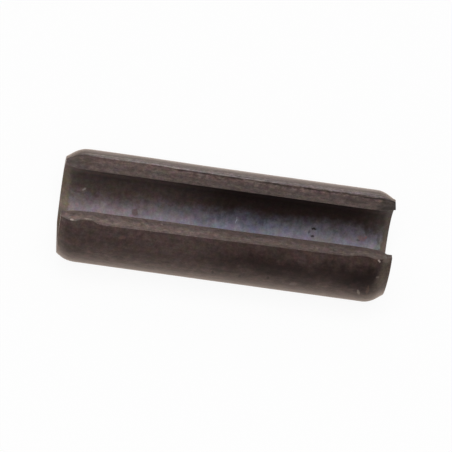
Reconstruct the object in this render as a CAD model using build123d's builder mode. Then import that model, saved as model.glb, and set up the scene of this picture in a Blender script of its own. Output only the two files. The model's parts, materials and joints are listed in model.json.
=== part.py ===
from build123d import *
import os
from math import cos, pi, radians, sin, tan

# Slotted spring pin: one strip of spring steel rolled into an open tube.
# All sizes are in millimetres and degrees, with the pin free, not yet driven into a hole.
# The pin lies on its side on z = 0 with its slot upwards. Its axis runs along X.
pin_length = 16.2
free_diameter = 5.45
strip_thickness = 0.95

# Swaged ends: a cone that meets the barrel in a soft shoulder, and a flared bore mouth.
cone_angle = 35.0
end_diameter = 4.62
shoulder_radius = 1.2
end_corner_radius = 0.08
mouth_length = 0.7
mouth_depth = 0.15
mouth_radius = 1.0

# Slot: the four edges of the two sheared lips, as angles from straight up.
# The strip was sheared off square, so both lip faces lean the same way.
back_outer_angle = 32.5
back_inner_angle = 51.0
front_outer_angle = -41.9
front_inner_angle = -32.1
front_outer_taper = 4.4  # how much further the front lip closes the slot at the +X end
front_inner_taper = 4.0

# Swaging pushes metal into the slot just behind each shoulder and draws the lip ends back.
bulge_half_width = 0.7
bulge_at_minus_x = 0.27
bulge_at_plus_x = 0.14
bulge_from_minus_x = 1.25  # from the end of the pin to the middle of its bulge
bulge_from_plus_x = 1.45
draw_back_length = 1.5
draw_back_inner = 0.1
draw_back_outer = 0.05
lip_edge_radius = 0.04
slot_overrun = 0.2  # how far the slot's cutter runs out past each end
first_step = 0.25

outer_radius = free_diameter / 2
bore_radius = outer_radius - strip_thickness
end_radius = end_diameter / 2
half_length = pin_length / 2
pin_axis = Axis((0, 0, outer_radius), (1, 0, 0))


def on_circle(radius, angle):
    """The point (y, z) on a circle about the pin's axis, at an angle from straight up."""
    return Vector(radius * sin(radians(angle)), radius * cos(radians(angle)))


def swell(distance, middle, half_width):
    """A smooth bump, 1 at its middle and 0 from half_width outwards."""
    offset = abs(distance - middle) / half_width
    return (1 + cos(pi * offset)) / 2 if offset < 1 else 0.0


def run_on(inner, outer):
    """A lip face's line, run on into the bore and up past the top of the pin."""
    face = outer - inner
    rise = (1.1 * outer_radius - outer.Y) / face.Y
    return [inner - face * 0.4, outer + face * rise]


def slot_corners(x):
    """The slot's section at x: the two lip faces, run on past the wall on both sides."""
    to_end = half_length - abs(x)
    drawn = max(0.0, 1 - to_end / draw_back_length)
    if x > 0:
        bulge = bulge_at_plus_x * swell(to_end, bulge_from_plus_x, bulge_half_width)
    else:
        bulge = bulge_at_minus_x * swell(to_end, bulge_from_minus_x, bulge_half_width)
    along = x / pin_length
    front_outer = on_circle(outer_radius, front_outer_angle + front_outer_taper * along)
    front_inner = on_circle(bore_radius, front_inner_angle + front_inner_taper * along)
    back_outer = on_circle(outer_radius, back_outer_angle)
    back_inner = on_circle(bore_radius, back_inner_angle)
    front_outer += Vector(bulge - draw_back_outer * drawn, 0)
    front_inner += Vector(-draw_back_inner * drawn, 0)
    back_outer += Vector(draw_back_outer * drawn, 0)
    back_inner += Vector(draw_back_inner * drawn, 0)
    return [
        *run_on(front_inner, front_outer),
        *reversed(run_on(back_inner, back_outer)),
    ]


def end_steps(bulge_middle):
    """Distances from one end of the pin, outermost first, at which the slot's section is drawn."""
    shares = (-1.0, -0.5, 0.0, 0.5, 1.0, 2.4)
    return [-slot_overrun, first_step] + [bulge_middle + share * bulge_half_width for share in shares]


def corners_in_from_ends(sketch, distance):
    """The corners of the wall section that lie this far in from either end of the pin."""
    return sketch.vertices().filter_by(lambda v: abs(half_length - abs(v.X) - distance) < 0.01)


# Cutter for the slot, lofted along the pin through the sections where its shape changes.
left_stations = [-half_length + step for step in end_steps(bulge_from_minus_x)]
right_stations = [half_length - step for step in reversed(end_steps(bulge_from_plus_x))]

with BuildPart() as slot_cutter:
    for x in left_stations + [0.0] + right_stations:
        section = Plane(origin=(x, 0, outer_radius), x_dir=(0, 1, 0), z_dir=(1, 0, 0))
        with BuildSketch(section):
            with BuildLine():
                Polyline(*slot_corners(x), close=True)
            make_face()
    loft()

# The rolled strip: half of its lengthwise wall section, mirrored and turned about the axis.
cone_length = (outer_radius - end_radius) / tan(radians(cone_angle))

with BuildPart() as spring_pin:
    with BuildSketch(Plane(origin=(0, 0, outer_radius), x_dir=(1, 0, 0), z_dir=(0, -1, 0))) as wall:
        with BuildLine():
            Polyline(
                (0, outer_radius),
                (half_length - cone_length, outer_radius),
                (half_length, end_radius),
                (half_length, bore_radius + mouth_depth),
                (half_length - mouth_length, bore_radius),
                (0, bore_radius),
            )
            mirror(about=Plane.YZ)
        make_face()
        fillet(corners_in_from_ends(wall, 0), end_corner_radius)
        fillet(corners_in_from_ends(wall, cone_length), shoulder_radius)
        fillet(corners_in_from_ends(wall, mouth_length), mouth_radius)
    revolve(axis=pin_axis)
    add(slot_cutter.part, mode=Mode.SUBTRACT)
    lip_faces = faces().filter_by(GeomType.BSPLINE)
    fillet(lip_faces.edges(), lip_edge_radius)

spring_pin.part.label = "spring_pin"
os.makedirs("parts", exist_ok=True)
export_step(spring_pin.part, "parts/spring_pin.step")
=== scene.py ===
import json
from math import cos, pi, radians, sin, tan

import bpy
import numpy as np
from mathutils import Matrix, Vector, noise


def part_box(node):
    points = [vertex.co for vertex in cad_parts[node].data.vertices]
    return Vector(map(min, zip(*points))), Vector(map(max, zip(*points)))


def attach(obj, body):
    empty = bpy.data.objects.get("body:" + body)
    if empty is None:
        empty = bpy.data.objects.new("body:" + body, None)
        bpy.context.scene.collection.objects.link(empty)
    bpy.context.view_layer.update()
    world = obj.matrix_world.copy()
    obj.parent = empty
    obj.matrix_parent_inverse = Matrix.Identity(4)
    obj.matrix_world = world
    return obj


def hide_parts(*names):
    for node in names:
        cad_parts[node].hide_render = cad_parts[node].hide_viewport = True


# Looks of a slotted spring pin. The pin's own frame is the CAD's: its axis runs along X, it lies on z = 0
# and its slot is upwards. Shapes are worked out in millimetres and degrees, and written in metres.
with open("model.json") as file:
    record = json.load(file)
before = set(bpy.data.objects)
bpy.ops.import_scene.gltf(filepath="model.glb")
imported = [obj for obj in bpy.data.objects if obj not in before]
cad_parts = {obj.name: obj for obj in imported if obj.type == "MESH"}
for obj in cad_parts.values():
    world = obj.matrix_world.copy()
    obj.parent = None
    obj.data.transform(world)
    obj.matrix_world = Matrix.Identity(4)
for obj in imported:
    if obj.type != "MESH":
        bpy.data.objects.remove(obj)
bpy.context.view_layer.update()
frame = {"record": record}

MM = 0.001
TAU = 2 * pi

# ---------------------------------------------------------------------------------------------------
# Sizes taken from the frame
# ---------------------------------------------------------------------------------------------------
low_corner, high_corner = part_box("spring_pin")
mount_radius = {m["name"]: m["dims"]["r_mm"] for m in frame["record"]["mounts"]}
pin_length = (high_corner.x - low_corner.x) / MM
half_length = pin_length / 2
outer_radius = mount_radius["barrel"]
bore_radius = mount_radius["bore"]

# Swaged ends, as in the CAD: a cone behind a soft shoulder, and a flared bore mouth.
end_radius = 2.31
cone_angle = 35.0
shoulder_radius = 1.2
mouth_depth = 0.15
mouth_length = 0.7
mouth_softness = 0.15  # share of the flare that eases into the bore

# The ends are not quite square: how much shorter each is, and how much it leans back for each millimetre
# down the picture at -X, and towards the camera at +X.
left_trim = 0.002
left_lean = 0.013
left_fall = 0.085  # the further lean of its low part, which begins this far below the axis
left_fall_from = 1.25
right_trim = 0.0885
right_lean = 0.0158
right_fall = 0.028
right_fall_from = 0.9

# Nor is the swaging even: how much too large it leaves each end, and how much more on the lower side.
left_end_larger = 0.035
left_end_lopsided = 0.055
right_end_larger = -0.03
unevenness_length = 0.9

# The barrel stands out a little behind the back lip, and more towards -X.
swelling = 0.02
swelling_to_left = 0.03
swelling_from_lip = 28.0  # degrees around from the lip to its middle
swelling_half_width = 26.0
swelling_grows_from, swelling_grows_to = 0.5, 5.0  # millimetres from the middle, towards -X
swelling_fades_from, swelling_fades_to = 1.2, 0.2  # millimetres from each end

# At +X the back lip's corner escaped the swaging, and its end is cut at a slant.
corner_share = 0.4  # of the cone's depth
corner_width = 28.0  # degrees around from the lip
corner_slant = 0.14  # along the pin, from the bore to the outside
corner_cut = 0.05  # how much shorter it is at mid wall
corner_reach = 1.0  # how far in from the end the cut is felt

# Also at +X, the front lip's inner edge drops away where it meets the end.
notch_depth = 0.09
notch_deepening = 0.2  # for each millimetre in from the end
notch_from, notch_to = 0.26, 0.4  # it fades out between these distances from the end

# Slot: the four edges of its two lips, as angles from straight up, and what swaging did to them.
back_outer_angle = 33.1
back_outer_step = 2.3  # how much further back the edge lies towards -X, past a soft step
back_step_from, back_step_to = 2.5, 3.5
back_inner_angle = 51.0
front_outer_angle = -41.9
front_inner_angle = -32.1
front_outer_taper = 4.4
front_inner_taper = 4.0
bulge_half_width = 0.7
bulge_at_minus_x = 0.25
bulge_at_plus_x = 0.14
bulge_from_minus_x = 1.25
bulge_from_plus_x = 1.45
draw_back_length = 1.5
draw_back_inner = 0.1
draw_back_outer = 0.05
front_waver = 0.02  # how unevenly each lip's edges run
back_waver = 0.012

# The sheared lips: shares of the wall, from the bore outwards, where the rough break begins.
back_break = 0.62
front_break = 0.45
back_break_half_width = 0.03
front_break_half_width = 0.08
back_break_depth = 0.02
front_break_depth = 0.01
back_roughness = 0.014
front_roughness = 0.012

# A groove along the back lip's face, close under its outer edge. All but its depth are shares of the wall.
groove_depth = 0.03
groove_half_width = 0.11
groove_place = 0.89
groove_waver = 0.05
groove_falls = 0.04  # nearer the bore by this much, between these two places along the pin
groove_falls_from, groove_falls_to = -1.0, 3.0
groove_dips = 0.03  # and by this much more at +X
groove_dips_from, groove_dips_to = 5.5, 7.0

# How much of its depth the groove has where it is broken up, and how much it loses towards -X.
groove_least = 0.3
groove_fades = 0.7
groove_fades_from, groove_fades_to = 2.6, 3.4

# How uneven the barrel and the bore are, in broad hollows and in fine ones.
broad_hollows = 0.003
fine_hollows = 0.0015

# Mesh of the strip: steps around the section, along the pin and across the wall, and how much they crowd
# towards both ends of each way.
AROUND, ALONG, ACROSS = 0, 1, 2
STEPS_AROUND = 132
STEPS_ALONG = 290
STEPS_ACROSS = 20
CROWDING_AROUND = 0.75
CROWDING_ALONG = 0.4
CROWDING_ACROSS = 0.5
FULL_TURN = 360.0

# The mesh's edges are rounded over this many steps, and less so within this distance of the pin's ends.
ROUNDED_STEPS = 3
ROUNDING_PASSES = 4
NEAR_END = 0.05
ROUNDING_NEAR_END = 0.3

# The finish on each side of the strip: front and back lip, -X and +X end, bore, outside.
SHEARED, BORE, OUTSIDE = 0, 1, 2
SIDE_KINDS = (SHEARED, SHEARED, SHEARED, SHEARED, BORE, OUTSIDE)


def smooth_step(values, start, end):
    """0 before start, 1 after end, and an even S between them."""
    t = np.clip((values - start) / (end - start), 0, 1)
    return t * t * (3 - 2 * t)


def beyond(values, middle, half_width):
    """0 to 1 as values pass a middle, over a half width on either side of it."""
    return smooth_step(values, middle - half_width, middle + half_width)


def swell(distance, half_width):
    """A smooth bump, 1 at distance 0 and 0 from half_width outwards."""
    offset = np.clip(np.abs(distance) / half_width, 0, 1)
    return (1 + np.cos(pi * offset)) / 2


def flat_topped(bump):
    """The same bump, 0 to 1, with a broader top."""
    return np.tanh(2 * bump) / np.tanh(2)


def crowded(steps, crowding):
    """Positions from 0 to 1 that lie closer together near both ends."""
    t = np.linspace(0, 1, steps + 1)
    return t - crowding * np.sin(TAU * t) / TAU


def noise_at(points, scale, seed):
    """Perlin noise, about -1 to 1, at points in millimetres; scale is a number or one for each axis."""
    scaled = points * np.asarray(scale, float) + seed
    return np.array([noise.noise(Vector(p)) for p in scaled])


# ---------------------------------------------------------------------------------------------------
# Form of the rolled strip
# ---------------------------------------------------------------------------------------------------
def outer_profile(to_end):
    """Radius of the outside at a distance from the pin's end: barrel, shoulder arc, cone."""
    slope = radians(cone_angle)
    cone_length = (outer_radius - end_radius) / tan(slope)
    tangent = shoulder_radius * tan(slope / 2)
    arc_start = cone_length - tangent * cos(slope)
    arc_end = cone_length + tangent
    fall = np.minimum(to_end, arc_end) - arc_end
    arc = outer_radius - shoulder_radius + np.sqrt(np.maximum(shoulder_radius**2 - fall**2, 0))
    cone = end_radius + to_end * tan(slope)
    return np.where(to_end < arc_start, cone, arc)


def bore_profile(to_end):
    """Radius of the bore at a distance from the pin's end: it flares over the last stretch."""
    flare = np.clip(1 - to_end / mouth_length, 0, 1)
    return bore_radius + mouth_depth * flare**2 / (flare + mouth_softness) * (1 + mouth_softness)


def on_circle(radius, angle):
    """The point (y, z) on a circle about the pin's axis, at an angle from straight up, in degrees."""
    return radius * np.sin(np.radians(angle)), radius * np.cos(np.radians(angle))


def angle_on_line(inner, outer, radius):
    """The angle at which the straight line of a lip face, from inner to outer, crosses a radius."""
    along_y, along_z = outer[0] - inner[0], outer[1] - inner[1]
    a = along_y**2 + along_z**2
    b = inner[0] * along_y + inner[1] * along_z
    c = inner[0] ** 2 + inner[1] ** 2 - radius**2
    share = (-b + np.sqrt(b * b - a * c)) / a
    return np.degrees(np.arctan2(inner[0] + share * along_y, inner[1] + share * along_z))


def wander(x, size, seed):
    """An uneven line along the pin: a slow waver with a finer one on it, both sized in millimetres."""
    line = np.stack([x, 0 * x, 0 * x], 1)
    return size * (noise_at(line, 0.45, seed) + 0.5 * noise_at(line, 1.6, seed + 9.3))


def lip_angles(x, to_end, radius):
    """Angles of the front and the back lip's faces at places along the pin, at a radius."""
    drawn = np.clip(1 - to_end / draw_back_length, 0, 1)
    left_bulge = bulge_at_minus_x * flat_topped(swell(to_end - bulge_from_minus_x, bulge_half_width))
    right_bulge = bulge_at_plus_x * flat_topped(swell(to_end - bulge_from_plus_x, bulge_half_width))
    bulge = np.where(x > 0, right_bulge, left_bulge)
    in_notch = (1 - smooth_step(to_end, notch_from, notch_to)) * (x > 0)
    notch = (notch_depth + notch_deepening * to_end) * in_notch
    along = x / pin_length
    front_outer = on_circle(outer_radius, front_outer_angle + front_outer_taper * along)
    front_inner = on_circle(bore_radius, front_inner_angle + front_inner_taper * along)
    step = back_outer_step * smooth_step(-x, back_step_from, back_step_to)
    back_outer = on_circle(outer_radius, back_outer_angle + step)
    back_inner = on_circle(bore_radius, back_inner_angle)
    front_in = front_inner[0] - draw_back_inner * drawn - notch + wander(x, front_waver, seed=3.1)
    front_out = front_outer[0] - draw_back_outer * drawn + bulge + wander(x, front_waver, seed=7.7)
    back_in = back_inner[0] + draw_back_inner * drawn + wander(x, back_waver, seed=12.9)
    back_out = back_outer[0] + draw_back_outer * drawn + wander(x, back_waver, seed=21.4)
    front = angle_on_line((front_in, front_inner[1]), (front_out, front_outer[1]), radius)
    back = angle_on_line((back_in, back_inner[1]), (back_out, back_outer[1]), radius)
    return front, back


class Lattice:
    """The surface of a box of steps, around, along and across, that is bent into the strip."""

    def __init__(self):
        self.top = np.array([STEPS_AROUND, STEPS_ALONG, STEPS_ACROSS])
        grid = np.indices(self.top + 1)
        skin = np.zeros(self.top + 1, bool)
        for axis in range(3):
            skin |= (grid[axis] == 0) | (grid[axis] == self.top[axis])
        self.number = np.full(self.top + 1, -1)
        self.number[skin] = np.arange(skin.sum())
        self.steps = grid[:, skin].T
        sides = [self.side(axis, end) for axis in range(3) for end in (0, 1)]
        self.quads = np.concatenate(sides)
        self.kinds = np.repeat(SIDE_KINDS, [len(quads) for quads in sides])

    def side(self, axis, end):
        """The quads of one of the box's six sides, facing outwards."""
        sheet = np.take(self.number, self.top[axis] * end, axis)
        quads = np.stack([sheet[:-1, :-1], sheet[1:, :-1], sheet[1:, 1:], sheet[:-1, 1:]], -1)
        turned = (end == 0) != (axis == ALONG)
        return (quads[..., ::-1] if turned else quads).reshape(-1, 4)

    def on_side(self, axis, end):
        """True for each vertex on one of the box's six sides."""
        return self.steps[:, axis] == self.top[axis] * end

    def steps_to_edge(self):
        """For each vertex, how many steps it lies from the nearest edge between two sides."""
        to_side = np.minimum(self.steps, self.top - self.steps)
        return np.sort(to_side, 1)[:, 1]

    def relaxed(self, points, weight, rounds):
        """Points moved towards the mean of their neighbours, each by its weight."""
        here = np.concatenate([self.quads, np.roll(self.quads, 1, 1)]).reshape(-1)
        there = np.concatenate([np.roll(self.quads, -1, 1), self.quads]).reshape(-1)
        count = np.bincount(here, minlength=len(points))[:, None]
        for _ in range(rounds):
            total = np.stack([np.bincount(here, axis[there], len(points)) for axis in points.T], 1)
            points = points + weight[:, None] * (total / count - points)
        return points


def turned_from_front(around, front, back):
    """The angle at a share of the way from the front lip, down under the pin, to the back lip."""
    return front + around * (back - front - FULL_TURN)


def turned_from_back(around, front, back):
    """The degrees from there to the back lip."""
    return (1 - around) * (front + FULL_TURN - back)


def unevenness(x, to_end, upward, from_back_lip):
    """What is added to the outer radius where the tube is not true; upward is -1 to 1 up the picture."""
    at_end = 1 - smooth_step(to_end, 0, unevenness_length)
    left = left_end_larger - left_end_lopsided * upward
    swollen = swell(from_back_lip - swelling_from_lip, swelling_half_width)
    grown = swelling + swelling_to_left * smooth_step(-x, swelling_grows_from, swelling_grows_to)
    swollen = swollen * grown * smooth_step(to_end, swelling_fades_to, swelling_fades_from)
    return at_end * np.where(x < 0, left, right_end_larger) + swollen


def ends_of_pin(upward, nearer):
    """How far from the middle the -X end and the +X end lie, at a place in the section as it is seen."""
    left = half_length - left_trim - left_lean * (end_radius - upward)
    left = left - left_fall * np.maximum(-left_fall_from - upward, 0)
    right = half_length - right_trim - right_lean * nearer
    right = right - right_fall * np.maximum(-right_fall_from - upward, 0)
    return left, right


def strip_points(lattice):
    """Each vertex of the strip in millimetres, its share across the wall and its distance from the end."""
    around = crowded(STEPS_AROUND, CROWDING_AROUND)[lattice.steps[:, AROUND]]
    along = crowded(STEPS_ALONG, CROWDING_ALONG)[lattice.steps[:, ALONG]] * 2 - 1
    across = crowded(STEPS_ACROSS, CROWDING_ACROSS)[lattice.steps[:, ACROSS]]

    # A first pass finds where each vertex lies around the pin, and so how far out its end leans.
    front, back = lip_angles(along * half_length, half_length * (1 - np.abs(along)), bore_radius)
    y, z = on_circle(end_radius, turned_from_front(around, front, back))
    upward, nearer = in_view(y, z)
    left_end, right_end = ends_of_pin(upward, nearer)
    x = along * np.where(along < 0, left_end, right_end)
    to_end = np.where(along < 0, left_end, right_end) - np.abs(x)

    from_back_lip = turned_from_back(around, front, back)
    in_corner = (1 - smooth_step(from_back_lip, 0, corner_width)) * (x > 0)
    inside = bore_profile(to_end)
    cone_share = 1 - (1 - corner_share) * in_corner
    outside = outer_radius - (outer_radius - outer_profile(to_end)) * cone_share
    outside += unevenness(x, to_end, upward / end_radius, from_back_lip)
    radius = inside + (outside - inside) * across
    front, back = lip_angles(x, to_end, radius)
    y, z = on_circle(radius, turned_from_front(around, front, back))
    moved_out = corner_slant * (0.5 - across) - corner_cut
    x = x + moved_out * in_corner * (1 - smooth_step(to_end, 0, corner_reach))
    return np.stack([x, y, z], 1), across, to_end


def groove_share(points, across):
    """How deep the groove under the back lip's edge is at each point, as a share of its full depth."""
    x = points[:, 0]
    on_line = points * (1, 0, 0)
    line = groove_place + groove_waver * noise_at(on_line, 1.4, seed=1.7)
    falls = groove_falls * smooth_step(x, groove_falls_from, groove_falls_to)
    line -= falls + groove_dips * smooth_step(x, groove_dips_from, groove_dips_to)
    unbroken = smooth_step(noise_at(on_line, 2.6, seed=6.1), -0.5, 0.2)
    groove = swell(across - line, groove_half_width) * (groove_least + (1 - groove_least) * unbroken)
    return groove * (1 - groove_fades * smooth_step(-x, groove_fades_from, groove_fades_to))


def roughened(lattice, points, across):
    """The strip's points moved by what the tools left on it, and how deep the groove is at each."""
    on_front = lattice.on_side(AROUND, 0)
    on_back = lattice.on_side(AROUND, 1)
    on_bore = lattice.on_side(ACROSS, 0)
    on_outside = lattice.on_side(ACROSS, 1)
    radius = np.hypot(points[:, 1], points[:, 2])
    outward = np.stack([0 * radius, points[:, 1] / radius, points[:, 2] / radius], 1)
    into_back = np.array([0.0, 1.0, 0.0])
    fine = noise_at(points, (6, 9, 9), seed=4.4)
    coarse = noise_at(points, (1.2, 1.6, 1.6), seed=8.8)

    # Sheared faces: a smooth cut next to the bore and a rough break towards the outside.
    back_rough = beyond(across, back_break, back_break_half_width)
    front_rough = beyond(across, front_break, front_break_half_width)
    groove = groove_share(points, across)
    inward = back_rough * (back_break_depth + back_roughness * fine) + groove * groove_depth
    points = points + into_back * (inward * on_back)[:, None]
    inward = front_rough * (front_break_depth + front_roughness * fine)
    points = points - into_back * (inward * on_front)[:, None]

    # The barrel and bore are a little uneven, never proud of their true size.
    sunk = broad_hollows * (1 + coarse) + fine_hollows * (1 + fine)
    points = points - outward * (sunk * on_outside)[:, None]
    points = points + outward * (sunk * on_bore)[:, None]
    return points, groove * on_back


def build_strip():
    """The strip's one closed mesh, with its marks and its three finishes."""
    lattice = Lattice()
    points, across, to_end = strip_points(lattice)
    points, groove = roughened(lattice, points, across)
    weight = np.clip(1 - lattice.steps_to_edge() / ROUNDED_STEPS, 0, 1)
    weight = weight * np.where(to_end < NEAR_END, ROUNDING_NEAR_END, 1.0)
    points = lattice.relaxed(points, weight, ROUNDING_PASSES) + (0, 0, outer_radius)
    mesh = bpy.data.meshes.new("rolled_strip")
    mesh.from_pydata((points * MM).tolist(), [], lattice.quads.tolist())
    mesh.polygons.foreach_set("use_smooth", np.ones(len(mesh.polygons), bool))
    on_back = lattice.on_side(AROUND, 1)
    marks = {"across": across, "groove": groove, "back": on_back, "to_end": to_end}
    for name, values in marks.items():
        mesh.attributes.new(name, "FLOAT", "POINT").data.foreach_set("value", values.astype(np.float32))
    for material in (sheared_material(), bore_material(), outside_material()):
        mesh.materials.append(material)
    mesh.polygons.foreach_set("material_index", lattice.kinds)
    mesh.update()
    piece = bpy.data.objects.new("rolled_strip", mesh)
    bpy.context.scene.collection.objects.link(piece)
    return piece


# ---------------------------------------------------------------------------------------------------
# Camera: the photograph's viewpoint, steeply down on the slot and a little from the -X end
# ---------------------------------------------------------------------------------------------------
IMAGE_WIDTH = 452  # of the photograph, in pixels
SENSOR_WIDTH = 36.0
CLIP_START = 0.01
CAMERA_ELEVATION = radians(62.56)
CAMERA_YAW = radians(4.1)
CAMERA_ROLL = radians(7.9)
CAMERA_DISTANCE = 225.0
PIXELS_PER_MM = 20.69  # in the photograph, at the pin's axis


def in_view(y, z):
    """How far a point of the section lies up the picture, and how far towards the camera."""
    upward = y * sin(CAMERA_ELEVATION) + z * cos(CAMERA_ELEVATION)
    nearer = z * sin(CAMERA_ELEVATION) - y * cos(CAMERA_ELEVATION)
    return upward, nearer


def add_camera():
    """The scene's camera. It looks at the middle of the pin's axis."""
    along = Vector((1, 0, 0))
    toward = Vector((0, -cos(CAMERA_ELEVATION), sin(CAMERA_ELEVATION)))
    upward = Vector((0, sin(CAMERA_ELEVATION), cos(CAMERA_ELEVATION)))
    level_right = along * cos(CAMERA_YAW) + toward * sin(CAMERA_YAW)
    backward = toward * cos(CAMERA_YAW) - along * sin(CAMERA_YAW)
    right = level_right * cos(CAMERA_ROLL) + upward * sin(CAMERA_ROLL)
    up = upward * cos(CAMERA_ROLL) - level_right * sin(CAMERA_ROLL)
    data = bpy.data.cameras.new("camera")
    data.sensor_width = SENSOR_WIDTH
    data.lens = PIXELS_PER_MM * CAMERA_DISTANCE * SENSOR_WIDTH / IMAGE_WIDTH
    data.clip_start = CLIP_START
    camera = bpy.data.objects.new("camera", data)
    bpy.context.scene.collection.objects.link(camera)
    pose = Matrix((right, up, backward)).transposed().to_4x4()
    pose.translation = (Vector((0, 0, outer_radius)) + backward * CAMERA_DISTANCE) * MM
    camera.matrix_world = pose
    bpy.context.scene.camera = camera


# ---------------------------------------------------------------------------------------------------
# Materials
# ---------------------------------------------------------------------------------------------------
def linear(red, green, blue):
    """The linear colour of an sRGB colour that is given from 0 to 255."""
    parts = np.array([red, green, blue]) / 255
    parts = np.where(parts < 0.04045, parts / 12.92, ((parts + 0.055) / 1.055) ** 2.4)
    return (*parts.tolist(), 1.0)


# A noise lies mostly between these two.
NOISE_LOW, NOISE_HIGH = 0.3, 0.7
NOISE_ROUGHNESS = 0.6

# How far the ragged edges of a spot stray, and between which shares of its size it fades out.
RAGGEDNESS = 0.16
SPOT_FADES_FROM, SPOT_FADES_TO = 0.55, 1.15


class Nodes:
    """The node tree of a material or world, with short calls for what the looks below are built from."""

    def __init__(self, owner):
        owner.use_nodes = True
        self.tree = owner.node_tree
        self.tree.nodes.clear()

    def add(self, kind, inputs=None, output=0, **settings):
        """Adds a node, sets or links its inputs and returns one of its outputs."""
        made = self.tree.nodes.new("ShaderNode" + kind)
        for name, value in settings.items():
            setattr(made, name, value)
        for name, value in (inputs or {}).items():
            if isinstance(value, bpy.types.NodeSocket):
                self.tree.links.new(value, made.inputs[name])
            else:
                made.inputs[name].default_value = value
        return made.outputs[output] if made.outputs else made

    def mark(self, name):
        """One of the marks that the mesh carries."""
        return self.add("Attribute", output="Fac", attribute_name=name)

    def math(self, operation, *values):
        """What a Math node makes of its values."""
        return self.add("Math", dict(enumerate(values)), operation=operation)

    def vector(self, operation, *values, output=0):
        """What a Vector Math node makes of its values."""
        return self.add("VectorMath", dict(enumerate(values)), output, operation=operation)

    def ramp(self, value, start, end, low=0.0, high=1.0):
        """value taken from start..end to low..high with soft ends."""
        inputs = {"Value": value, "From Min": start, "From Max": end, "To Min": low, "To Max": high}
        return self.add("MapRange", inputs, interpolation_type="SMOOTHSTEP")

    def swing(self, noise, low, high):
        """A noise taken to low..high."""
        return self.ramp(noise, NOISE_LOW, NOISE_HIGH, low, high)

    def hill(self, value, middle, half_width):
        """1 where value is at the middle, falling softly to 0 at half_width on either side."""
        offset = self.math("ABSOLUTE", self.math("SUBTRACT", value, middle))
        return self.ramp(offset, half_width, 0.0)

    def both(self, first, second):
        """Two shares as one: their product."""
        return self.math("MULTIPLY", first, second)

    def rest(self, share):
        """What a share leaves of 1."""
        return self.math("SUBTRACT", 1.0, share)

    def change(self, share, amount):
        """What to shade a colour by to change it by an amount, such as -0.3, as far as the share goes."""
        return self.math("MULTIPLY_ADD", share, amount, 1.0)

    def noise(self, place, scale, detail=3.0, stretch=(1, 1, 1), output="Fac"):
        """Noise from 0 to 1, with about scale times stretch grains to a millimetre along each axis."""
        stretched = self.vector("MULTIPLY", place, stretch)
        inputs = {"Vector": stretched, "Scale": scale, "Detail": detail}
        inputs["Roughness"] = NOISE_ROUGHNESS
        return self.add("TexNoise", inputs, output=output)

    def mix(self, share, first, second):
        """Two colours mixed by a share."""
        made = self.tree.nodes.new("ShaderNodeMix")
        made.data_type = "RGBA"
        for name, value in (("Factor", share), ("A", first), ("B", second)):
            socket = [i for i in made.inputs if i.name == name and i.enabled][0]
            if isinstance(value, bpy.types.NodeSocket):
                self.tree.links.new(value, socket)
            else:
                socket.default_value = value
        return [o for o in made.outputs if o.enabled][0]

    def shade(self, colour, *values):
        """A colour made darker or lighter by each of the values in turn."""
        for value in values:
            made = self.tree.nodes.new("ShaderNodeVectorMath")
            made.operation = "SCALE"
            self.tree.links.new(colour, made.inputs[0])
            self.tree.links.new(value, made.inputs["Scale"])
            colour = made.outputs[0]
        return colour


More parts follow.
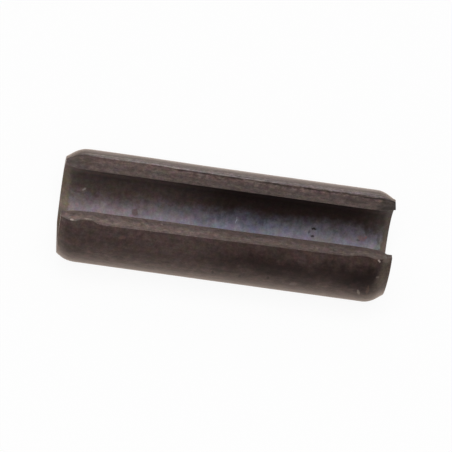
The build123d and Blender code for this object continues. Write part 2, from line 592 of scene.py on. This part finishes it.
class Finish(Nodes):
    """A finish of the strip: where its points lie, the noises that it is made of, and its marks."""

    def __init__(self, name):
        self.material = bpy.data.materials.new(name)
        super().__init__(self.material)
        metres = self.add("TexCoord", output="Object")
        self.place = self.add("VectorMath", {0: metres, "Scale": 1 / MM}, operation="SCALE")
        split = self.add("SeparateXYZ", {0: self.place}).node
        self.above_axis = self.math("SUBTRACT", split.outputs["Z"], outer_radius)
        self.along = split.outputs["X"]
        self.angle = self.math("ARCTAN2", split.outputs["Y"], self.above_axis)
        self.to_end = self.mark("to_end")
        self.to_left = self.ramp(self.along, 2.5, -6.0)
        self.coarse = self.noise(self.place, 0.8, detail=3)
        self.mottle = self.noise(self.place, 4.0, detail=5)
        self.fine = self.noise(self.place, 13.0, detail=2)
        self.tint = self.noise(self.place, 3.0, detail=3, output="Color")

    def lengthwise(self, start, end, low=0.0, high=1.0):
        """A ramp along the pin, in millimetres from its middle."""
        return self.ramp(self.along, start, end, low, high)

    def inwards(self, start, end, low=0.0, high=1.0):
        """A ramp by the distance from the nearer end, in millimetres."""
        return self.ramp(self.to_end, start, end, low, high)

    def turned(self, start, end, low=0.0, high=1.0):
        """A ramp around the pin, in degrees from straight up, + towards the back lip."""
        return self.ramp(self.angle, radians(start), radians(end), low, high)

    def around(self, middle, half_width, angle=None):
        """A hill around the pin, in degrees from straight up, + towards the back lip."""
        return self.hill(self.angle if angle is None else angle, radians(middle), radians(half_width))

    def uneven(self, value, noise, size):
        """A value that wavers by up to half of size either way."""
        return self.math("ADD", value, self.ramp(noise, 0.2, 0.8, -size / 2, size / 2))

    def coated(self, colour, share, coat, strength=1.0):
        """A colour under a coat of another, which covers it as far as the share and the strength go."""
        share = share if strength == 1.0 else self.both(share, strength)
        return self.mix(share, colour, linear(*coat))

    def speckled(self, colour, coarse, medium, small):
        """A colour darker and lighter in patches, mottles and specks, by these shares either way."""
        return self.shade(
            colour,
            self.swing(self.coarse, 1 - coarse, 1 + coarse),
            self.swing(self.mottle, 1 - medium, 1 + medium),
            self.ramp(self.fine, 0.25, 0.75, 1 - small, 1 + small),
        )

    def tinted(self, colour, strength):
        """A colour whose red, green and blue waver a little, each by itself."""
        wavered = self.add(
            "VectorMath",
            {0: self.tint, 1: (strength,) * 3, 2: (1 - strength / 2,) * 3},
            operation="MULTIPLY_ADD",
        )
        return self.vector("MULTIPLY", colour, wavered)

    def spotted(self, colour, spots, beside, unit):
        """A colour with ragged spots on it, and how much of it they cover.

        beside is where a point lies across the pin, and unit what 1 across stands for in a spot's row.
        """
        flat = self.add("CombineXYZ", {"X": self.along, "Y": beside})
        ragged = self.noise(self.place, 7.0, detail=2, output="Color")
        moved = self.vector("MULTIPLY_ADD", ragged, (RAGGEDNESS, RAGGEDNESS, 0), flat)
        cover = None
        for x, across, length, width, lean, strength, spot_colour in spots:
            centre = (x + RAGGEDNESS / 2, across * unit + RAGGEDNESS / 2, 0)
            inputs = {"Vector": moved, "Location": centre, "Rotation": (0, 0, radians(lean))}
            inputs["Scale"] = (length, width, 1)
            near = self.add("Mapping", inputs, vector_type="TEXTURE")
            reach = self.vector("LENGTH", near, output="Value")
            share = self.ramp(reach, SPOT_FADES_TO, SPOT_FADES_FROM, 0.0, strength)
            colour = self.mix(share, colour, linear(*spot_colour))
            cover = share if cover is None else self.math("MAXIMUM", cover, share)
        return colour, cover

    def done(self, settings, rise, depth):
        """Ends the material: one Principled shader, with a bump from what rises on the surface."""
        inputs = {"Strength": 1.0, "Distance": depth * MM, "Height": rise}
        settings["Normal"] = self.add("Bump", inputs, output="Normal")
        self.add("OutputMaterial", {"Surface": self.add("BsdfPrincipled", settings)})
        return self.material


# Base colours, red, green and blue from 0 to 255. Left is towards -X, right towards +X.
# First those of the outside.
OXIDE = (61, 48, 45)
OXIDE_LEFT = (69, 56, 53)
# Oxide darkened as painted shade: low on the front, on the cones and in the back lip's inner corner.
PAINTED_SHADE = (33, 22, 21)
RUBBED = (121, 112, 114)
RUBBED_LEFT = (144, 136, 135)
# A greyish painted highlight on the barrel beyond the back lip's rim.
PAINTED_HIGHLIGHT = (100, 95, 96)
PAINTED_HIGHLIGHT_LEFT = (92, 86, 84)
PALE_OXIDE = (82, 73, 63)
WORN_EDGE = (100, 87, 79)
REDDISH = (92, 66, 60)
WARM_SHEEN = (1.0, 0.8, 0.68, 1)  # a linear colour, for the lips' sheen too

# The bore.
FILM = (49, 38, 35)
FILM_LEFT = (84, 72, 68)
BLUED = (112, 112, 126)
BLUED_RIGHT = (116, 111, 120)
BLUED_LEFT = (128, 117, 122)
MOUTH_LEFT = (110, 96, 86)
MOUTH_RIGHT = (92, 81, 74)

# The lips and the end faces.
# The back lip's cut and break carry painted light, which makes them lighter than the front lip's.
BACK_CUT_WITH_PAINTED_LIGHT = (116, 102, 98)
BACK_TORN_WITH_PAINTED_LIGHT = (124, 106, 101)
TURNED_OVER = (150, 138, 134)
LIP_END = (84, 74, 70)
CUT_FRONT = (88, 76, 73)
TORN_FRONT = (108, 94, 90)

# Spots on any of them, and the groove, which is as dark as a pit.
BARE = (196, 180, 172)
PIT = (26, 20, 17)
RUST = (92, 62, 58)

# Spots: place along the pin, place across it, half length and half width, lean, strength and colour.
# The place across is an angle from straight up, or on the lips a share of the wall: + back, - front.
OUTSIDE_SPOTS = (
    (-0.43, -84.8, 0.08, 0.14, 0, 1.0, PIT),
    (0.87, -84.7, 0.08, 0.14, 0, 1.0, PIT),
    (2.22, -81.4, 0.09, 0.15, 0, 1.0, PIT),
    (3.49, -86.0, 0.24, 0.16, 30, 0.13, (150, 138, 130)),
    (-5.01, -54.0, 0.18, 0.10, 20, 0.5, (98, 74, 68)),
    (6.66, -84.6, 0.09, 0.24, 12, 0.4, (150, 138, 126)),
    (7.40, -60.7, 0.07, 0.07, 0, 0.5, (112, 100, 93)),
    (7.35, -41.7, 0.05, 0.10, 35, 0.5, BARE),
    (7.06, -79.0, 0.08, 0.40, 0, 0.2, (128, 98, 84)),
    (-7.99, 56.0, 0.06, 0.09, 0, 0.5, BARE),
    (6.95, -53.1, 0.04, 0.10, 0, 0.7, PIT),
    (7.70, -41.0, 0.22, 0.14, 0, 0.45, (116, 102, 96)),
    (5.12, -47.0, 0.025, 0.30, -8, 0.4, PIT),
)
BORE_SPOTS = (
    (-4.36, 151.3, 0.17, 0.22, 0, 0.6, RUST),
    (6.78, 142.5, 0.24, 0.15, 20, 0.55, (112, 84, 78)),
    (6.98, 140.5, 0.06, 0.08, 0, 0.5, (140, 88, 76)),
    (6.62, 146.0, 0.09, 0.05, 0, 0.5, PIT),
    (6.95, 128.0, 0.15, 0.28, -10, 0.6, (44, 34, 32)),
    (7.60, 141.0, 0.10, 0.30, -8, 0.4, (62, 52, 47)),
    (7.30, 122.0, 0.30, 0.16, 15, 0.5, (54, 44, 40)),
    (4.42, 137.7, 0.15, 0.07, 0, 0.9, PIT),
    (4.38, 150.1, 0.10, 0.06, 0, 0.8, PIT),
    (4.20, 144.0, 0.06, 0.12, 0, 0.5, PIT),
    (0.60, 141.5, 0.03, 0.18, 8, 0.5, (176, 176, 190)),
    (-6.97, 124.9, 0.13, 0.06, -45, 0.45, (176, 168, 164)),
    (-7.31, 131.0, 0.24, 0.07, 0, 0.35, (52, 44, 40)),
    (-7.20, 152.0, 0.16, 0.10, 60, 0.35, (150, 110, 116)),
)
LIP_SPOTS = (
    (-7.52, -0.88, 0.08, 0.08, 0, 0.8, BARE),
    (-6.75, -0.86, 0.22, 0.06, 0, 0.8, (190, 176, 165)),
    (-3.20, -0.30, 0.06, 0.05, 0, 0.5, (150, 138, 128)),
    (-7.65, -0.03, 0.30, 0.05, 0, 0.5, (160, 146, 126)),
    (-7.50, -0.62, 0.10, 0.07, 0, 0.4, (150, 100, 84)),
    (5.10, -0.70, 0.025, 0.30, -8, 0.4, PIT),
    (0.75, 0.80, 0.30, 0.10, 0, 0.4, (176, 156, 146)),
    (1.10, 0.55, 0.12, 0.08, 0, 0.4, (176, 150, 140)),
    (2.10, 0.93, 0.30, 0.04, 0, 0.8, PIT),
    (-0.30, 0.92, 0.20, 0.04, 0, 0.7, PIT),
    (4.70, 0.97, 0.07, 0.05, 0, 0.8, (200, 186, 178)),
    (6.02, -0.80, 0.12, 0.10, 0, 0.4, (150, 136, 126)),
    (6.00, 0.52, 0.80, 0.22, 0, 0.35, (56, 46, 44)),
    (4.40, 0.62, 1.20, 0.12, 0, 0.22, (56, 46, 44)),
)


# In the materials below a ramp's first two numbers say where it begins and ends: in millimetres along the
# pin or in from its end, in degrees around it, or as shares of its wall. The two after them say what it
# goes from and to, and are 0 and 1 where they are left out.
def oxide_colour(finish, patches):
    """Dark oxide, lighter towards -X, with painted shade low on the front that is nearly black towards +X.
    """
    lighter_to_left = finish.ramp(finish.uneven(finish.along, patches, 3.0), 1.2, -1.6)
    colour = finish.mix(lighter_to_left, linear(*OXIDE), linear(*OXIDE_LEFT))
    # Painted shade: a band low on the front, deepest near +X.
    lower = finish.math("ADD", finish.angle, finish.lengthwise(4.0, 7.5, radians(66), radians(62)))
    reach = finish.lengthwise(5.0, 6.8, radians(20), radians(26))
    low = finish.hill(finish.uneven(lower, patches, 0.35), 0.0, reach)
    dark = finish.both(low, finish.lengthwise(-3.0, 2.0, 0.25, 1.0))
    colour = finish.coated(colour, dark, PAINTED_SHADE)
    darkest = finish.both(low, finish.hill(finish.uneven(finish.along, patches, 0.6), 6.7, 1.1))
    return finish.shade(colour, finish.change(darkest, -0.4))


def rubbed_rim_and_painted_highlight(finish, colour, rim, drawn):
    """The top of the barrel behind the back lip: rubbed at its rim, and past a dark line a greyish painted
    highlight of grazing sheen.
    """
    on_barrel = finish.math("MAXIMUM", finish.lengthwise(-1.0, 1.0), finish.inwards(0.5, 1.1))
    far_left = finish.lengthwise(-2.5, -4.5)
    # Painted highlight: greyer and lighter further round, behind the rim.
    painted_highlight = finish.mix(far_left, linear(*PAINTED_HIGHLIGHT), linear(*PAINTED_HIGHLIGHT_LEFT))
    highlight_behind_rim = finish.both(
        finish.turned(41, 53),
        finish.ramp(finish.uneven(finish.angle, finish.mottle, 0.2), radians(92), radians(52)),
    )
    colour = finish.mix(finish.both(highlight_behind_rim, on_barrel), colour, painted_highlight)
    rubbed = finish.mix(finish.to_left, linear(*RUBBED), linear(*RUBBED_LEFT))
    colour = finish.mix(finish.both(rim, on_barrel), colour, rubbed)
    dark_line = finish.around(43, 5, finish.uneven(finish.angle, drawn, 0.05))
    return finish.coated(colour, finish.both(dark_line, finish.rest(far_left)), OXIDE, 0.5)


def swaged_cones(finish, colour):
    """The cones: pale at +X, with painted shade behind the back lip at -X and low on the front, and worn
    at the edge.
    """
    right_side = finish.lengthwise(-1.0, 1.0)
    left_side = finish.lengthwise(1.0, -1.0)
    slanted = finish.math("MULTIPLY_ADD", finish.above_axis, 0.28, finish.to_end)
    right_cone = finish.ramp(finish.uneven(slanted, finish.mottle, 0.14), 1.1, 0.84)
    colour = finish.coated(colour, finish.both(right_cone, right_side), PALE_OXIDE, 0.55)
    # Painted shade on the -X cone behind the back lip.
    behind_lip = finish.both(finish.turned(20, 32), finish.turned(120, 75))
    left_cone = finish.both(finish.inwards(1.1, 0.5), left_side)
    colour = finish.coated(colour, finish.both(left_cone, behind_lip), PAINTED_SHADE, 0.6)
    # Painted shade low on the front of both cones, stronger at +X.
    painted_shade_low_front = finish.around(-81, 15, finish.uneven(finish.angle, finish.mottle, 0.15))
    painted_shade_low_front = finish.both(painted_shade_low_front, finish.inwards(1.7, 1.1))
    painted_shade_low_front = finish.both(painted_shade_low_front, finish.lengthwise(-1.0, 1.0, 0.35, 0.85))
    colour = finish.coated(colour, painted_shade_low_front, PAINTED_SHADE)
    colour = finish.coated(colour, finish.both(finish.inwards(0.4, 0.05), left_side), WORN_EDGE, 0.35)
    return finish.coated(colour, finish.inwards(0.1, 0.02), REDDISH, 0.35)


def drawn_texture(finish, colour, rim, drawn):
    """Streaks and grain by the back lip, draw lines all over, blotches under the front, and painted shade
    on the back lip's rounded edge.
    """
    lines = finish.noise(finish.place, 1.0, detail=2, stretch=(0.2, 14, 14))
    grain = finish.noise(finish.place, 1.0, detail=2, stretch=(7, 16, 16))
    blotches = finish.noise(finish.place, 3.0, detail=4, stretch=(0.7, 1, 1))
    by_back_lip = finish.ramp(finish.around(33, 24), 0.0, 0.6, 0.1, 1.0)
    low_side = finish.both(finish.turned(-68, -82), finish.turned(-150, -120))
    return finish.shade(
        colour,
        finish.change(by_back_lip, finish.swing(lines, -0.7, 0.7)),
        finish.change(rim, finish.swing(grain, -0.5, 0.5)),
        # Painted shade along the back lip's rounded outer edge, dimming the highlight it catches.
        finish.change(finish.around(33, 4.5), -0.3),
        finish.swing(drawn, 0.94, 1.06),
        finish.change(low_side, finish.swing(blotches, -0.42, 0.42)),
    )


def outside_material():
    """The oxide on the outside of the tube, with a sheen that fades where its painted shade is deepest."""
    finish = Finish("oxide_outside")
    drawn = finish.noise(finish.place, 1.0, detail=3, stretch=(0.6, 6, 6))
    patches = finish.noise(finish.place, 0.9, detail=4)
    escaped = finish.both(finish.inwards(0.95, 0.5), finish.lengthwise(-1.0, 1.0))
    rim = finish.both(finish.around(35, 15), finish.change(escaped, -0.6))

    colour = oxide_colour(finish, patches)
    colour = rubbed_rim_and_painted_highlight(finish, colour, rim, drawn)
    colour = swaged_cones(finish, colour)
    colour = drawn_texture(finish, colour, rim, drawn)
    colour = finish.tinted(finish.speckled(colour, 0.09, 0.22, 0.17), 0.6)
    arc = finish.math("MULTIPLY", finish.angle, outer_radius)
    colour, _ = finish.spotted(colour, OUTSIDE_SPOTS, arc, radians(outer_radius))
    dull = finish.both(finish.around(-72, 22), finish.hill(finish.along, 6.5, 1.1))
    settings = {
        "Base Color": colour,
        "Roughness": finish.swing(finish.mottle, 0.5, 0.62),
        "Specular IOR Level": 0.05,
        "Sheen Weight": finish.math("MULTIPLY_ADD", dull, -0.5, 0.72),
        "Sheen Roughness": 0.4,
        "Sheen Tint": WARM_SHEEN,
    }
    rise = finish.math("ADD", finish.mottle, finish.math("ADD", drawn, finish.fine))
    return finish.done(settings, rise, 0.005)


def blued_colour(finish, to_right):
    """Bare blued steel, along the bottom of the bore, with painted light low on the back wall by the +X
    mouth.
    """
    colour = finish.mix(to_right, linear(*BLUED), linear(*BLUED_RIGHT))
    colour = finish.mix(finish.to_left, colour, linear(*BLUED_LEFT))
    # Painted light: lighter low on the back wall by the +X mouth.
    painted_light_by_mouth = finish.both(finish.lengthwise(6.9, 7.4), finish.turned(138, 156))
    return finish.shade(colour, finish.change(painted_light_by_mouth, 0.32))


def film_colour(finish, up_wall, to_left):
    """The dark film over the steel: lighter towards -X and the ends, and lighter under the lips."""
    lighter_film = finish.math("MAXIMUM", to_left, finish.both(finish.inwards(1.8, 0.6), 0.35))
    colour = finish.mix(lighter_film, linear(*FILM), linear(*FILM_LEFT))
    return finish.shade(colour, finish.ramp(up_wall, radians(83), radians(93), 1.6, 1.0))


def mouth_colour(finish):
    """The dull rim at the bore's mouths: brighter low on the back, with painted shade past the bottom."""
    colour = finish.mix(finish.to_left, linear(*MOUTH_RIGHT), linear(*MOUTH_LEFT))
    front_side = finish.ramp(finish.angle, 0, -1)
    # Painted shade past the bottom of the bore, deeper at +X.
    painted_shade_past_bottom = finish.math("MAXIMUM", finish.turned(160, 176), front_side)
    return finish.shade(
        colour,
        finish.change(finish.around(153, 19), 0.45),
        finish.change(painted_shade_past_bottom, finish.lengthwise(-1.0, 1.0, -0.12, -0.3)),
    )


def bore_material():
    """Blued steel along the bottom, under a dark film further up and a dull rim at the mouths."""
    finish = Finish("blued_bore")
    tool_marks = finish.noise(finish.place, 1.0, detail=3, stretch=(6, 1.2, 1.2))
    up_wall = finish.math("ABSOLUTE", finish.angle)
    to_left = finish.lengthwise(0.5, -3.5)
    to_right = finish.lengthwise(1.0, 5.0)

    from_end = finish.uneven(finish.uneven(finish.to_end, finish.mottle, 0.16), finish.coarse, 0.22)
    from_end = finish.math("ADD", from_end, finish.lengthwise(-1.0, 1.0, 0.0, 0.06))
    mouth = finish.ramp(from_end, 0.46, 0.22)
    border = finish.uneven(finish.uneven(up_wall, finish.mottle, 0.1), finish.coarse, 0.22)
    border = finish.math("MULTIPLY_ADD", to_left, -0.05, border)
    border = finish.math("MULTIPLY_ADD", to_right, 0.08, border)
    bare = finish.both(finish.ramp(border, radians(116), radians(155)), finish.rest(mouth))

    colour = finish.mix(bare, film_colour(finish, up_wall, to_left), blued_colour(finish, to_right))
    colour = finish.mix(mouth, colour, mouth_colour(finish))
    colour = finish.shade(colour, finish.swing(tool_marks, 0.92, 1.08))
    colour = finish.tinted(finish.speckled(colour, 0.05, 0.12, 0.12), 0.65)
    arc = finish.math("MULTIPLY", finish.angle, bore_radius)
    colour, cover = finish.spotted(colour, BORE_SPOTS, arc, radians(bore_radius))
    settings = {
        "Base Color": colour,
        "Metallic": finish.both(finish.both(bare, finish.rest(cover)), 0.5),
        "Roughness": finish.swing(finish.mottle, 0.5, 0.6),
        "Specular IOR Level": 0.1,
    }
    return finish.done(settings, finish.math("ADD", finish.mottle, tool_marks), 0.004)


def back_lip_colour(finish, across, torn):
    """The back lip's face: a smooth cut and a torn break further out, with painted light that makes them
    lighter than the front lip's, and a bruised end at +X with painted shade in its inner corner.
    """
    colour = finish.mix(torn, linear(*BACK_CUT_WITH_PAINTED_LIGHT), linear(*BACK_TORN_WITH_PAINTED_LIGHT))
    bruised = finish.ramp(finish.uneven(finish.to_end, finish.mottle, 0.3), 1.1, 0.5)
    bruised = finish.both(bruised, finish.lengthwise(-1.0, 1.0))
    colour = finish.coated(colour, bruised, LIP_END, 0.9)
    # Painted shade in the inner corner of the bruised end.
    painted_shade_inner_corner = finish.both(bruised, finish.ramp(across, 0.5, 0.2))
    colour = finish.coated(colour, painted_shade_inner_corner, PAINTED_SHADE, 0.7)
    return finish.shade(colour, finish.inwards(0.3, 3.2, 0.78, 1.12))


def front_lip_colour(finish, uneven_across):
    """The front lip's face and the end faces: a cut that turns softly into a break."""
    torn = finish.ramp(uneven_across, front_break - 0.2, front_break + 0.25)
    return finish.shade(
        finish.mix(torn, linear(*CUT_FRONT), linear(*TORN_FRONT)),
        finish.lengthwise(0.5, -2.0, 1.0, 1.3),
        finish.lengthwise(2.0, 4.5, 1.0, 0.92),
        finish.inwards(0.0, 0.05, 0.75, 1.0),
        finish.ramp(uneven_across, 0.78, 1.0, 1.0, 0.78),
    )


def back_lip_marks(finish, colour, across, uneven_across, back):
    """Bands along the back lip, metal turned over at its outer edge, and the groove beside that."""
    drawn = finish.noise(finish.place, 1.0, detail=3, stretch=(0.8, 3, 3))
    drawn_across = finish.uneven(across, drawn, 0.16)
    inner_band = finish.ramp(drawn_across, 0.25, 0.45, 0.06, -0.1)
    outer_band = finish.ramp(drawn_across, 0.55, 0.72, 0.0, 0.04)
    colour = finish.shade(colour, finish.change(back, finish.math("ADD", inner_band, outer_band)))
    turned_over = finish.both(finish.ramp(uneven_across, 0.92, 0.97), back)
    turned_over = finish.both(turned_over, finish.lengthwise(-3.4, -2.6))
    colour = finish.coated(colour, turned_over, TURNED_OVER, 0.5)
    return finish.coated(colour, finish.mark("groove"), PIT, 0.75)


def sheared_material():
    """The lips and ends: a smooth cut next to the bore and a torn, lighter break further out."""
    finish = Finish("sheared_steel")
    across = finish.mark("across")
    back = finish.mark("back")
    scuffs = finish.noise(finish.place, 1.0, detail=3, stretch=(4, 7, 7))
    uneven_across = finish.uneven(across, finish.mottle, 0.16)
    torn = finish.ramp(uneven_across, back_break - 0.06, back_break + 0.06)
    rough = finish.both(finish.lengthwise(-4.0, -1.0), finish.both(back, torn))

    colour = finish.mix(
        back, front_lip_colour(finish, uneven_across), back_lip_colour(finish, across, torn)
    )
    colour = back_lip_marks(finish, colour, across, uneven_across, back)
    colour = finish.shade(
        colour,
        finish.swing(scuffs, 0.8, 1.2),
        finish.change(rough, finish.swing(finish.mottle, -0.3, 0.3)),
    )
    colour = finish.tinted(finish.speckled(colour, 0.05, 0.17, 0.2), 0.5)
    side = finish.math("MULTIPLY_ADD", back, 2.0, -1.0)
    colour, _ = finish.spotted(colour, LIP_SPOTS, finish.both(across, side), 1.0)
    settings = {
        "Base Color": colour,
        "Roughness": finish.swing(finish.mottle, 0.5, 0.62),
        "Specular IOR Level": 0.12,
        "Sheen Weight": 0.3,
        "Sheen Roughness": 0.4,
        "Sheen Tint": WARM_SHEEN,
    }
    return finish.done(settings, finish.math("ADD", finish.mottle, finish.fine), 0.006)


strip = build_strip()
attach(strip, "root")
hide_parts("spring_pin")


# ---------------------------------------------------------------------------------------------------
# Floor and light
# ---------------------------------------------------------------------------------------------------
FLOOR_SIZE = 3.0
PAPER = (0.95, 0.95, 0.95, 1)
WHITE = (1, 1, 1, 1)
FLOOR_SHINE = 0.92  # share of the floor's white that the camera and mirrors see whatever falls on it
SKY_STRENGTH = 0.3
KEY_PLACE = (-0.05, -0.14, 0.59)
KEY_SIZE = 0.45
KEY_POWER = 2.6


def seen_directly(nodes):
    """1 for rays from the camera, from gloss and through glass, which see the floor as white."""
    path = nodes.add("LightPath", output="Is Camera Ray").node
    glossy = nodes.math("MAXIMUM", path.outputs["Is Camera Ray"], path.outputs["Is Glossy Ray"])
    return nodes.math("MAXIMUM", glossy, path.outputs["Is Transmission Ray"])


def add_floor():
    """A large pale sheet on z = 0, for the picture only."""
    mesh = bpy.data.meshes.new("floor")
    reach = FLOOR_SIZE / 2
    corners = [(-reach, -reach, 0), (reach, -reach, 0), (reach, reach, 0), (-reach, reach, 0)]
    mesh.from_pydata(corners, [], [(0, 1, 2, 3)])
    floor = bpy.data.objects.new("floor", mesh)
    bpy.context.scene.collection.objects.link(floor)
    material = bpy.data.materials.new("floor")
    nodes = Nodes(material)
    paper = nodes.add("BsdfDiffuse", {"Color": PAPER})
    white = nodes.add("Emission", {"Color": WHITE, "Strength": 1.0})
    share = nodes.math("MULTIPLY", seen_directly(nodes), FLOOR_SHINE)
    nodes.add("OutputMaterial", {"Surface": nodes.add("MixShader", {0: share, 1: paper, 2: white})})
    mesh.materials.append(material)


def add_lamp(name, place, size, power):
    """A square soft light at a place in metres, facing the pin."""
    data = bpy.data.lights.new(name, "AREA")
    data.size = size
    data.energy = power
    light = bpy.data.objects.new(name, data)
    bpy.context.scene.collection.objects.link(light)
    light.location = place
    light.rotation_euler = Vector(place).to_track_quat("Z", "Y").to_euler()


def add_world():
    """An even, dim white all around."""
    world = bpy.data.worlds.new("studio")
    bpy.context.scene.world = world
    nodes = Nodes(world)
    background = nodes.add("Background", {"Color": WHITE, "Strength": SKY_STRENGTH})
    nodes.add("OutputWorld", {"Surface": background})


add_camera()
add_floor()
add_lamp("key", KEY_PLACE, KEY_SIZE, KEY_POWER)
add_world()
bpy.context.scene.view_settings.view_transform = "Standard"
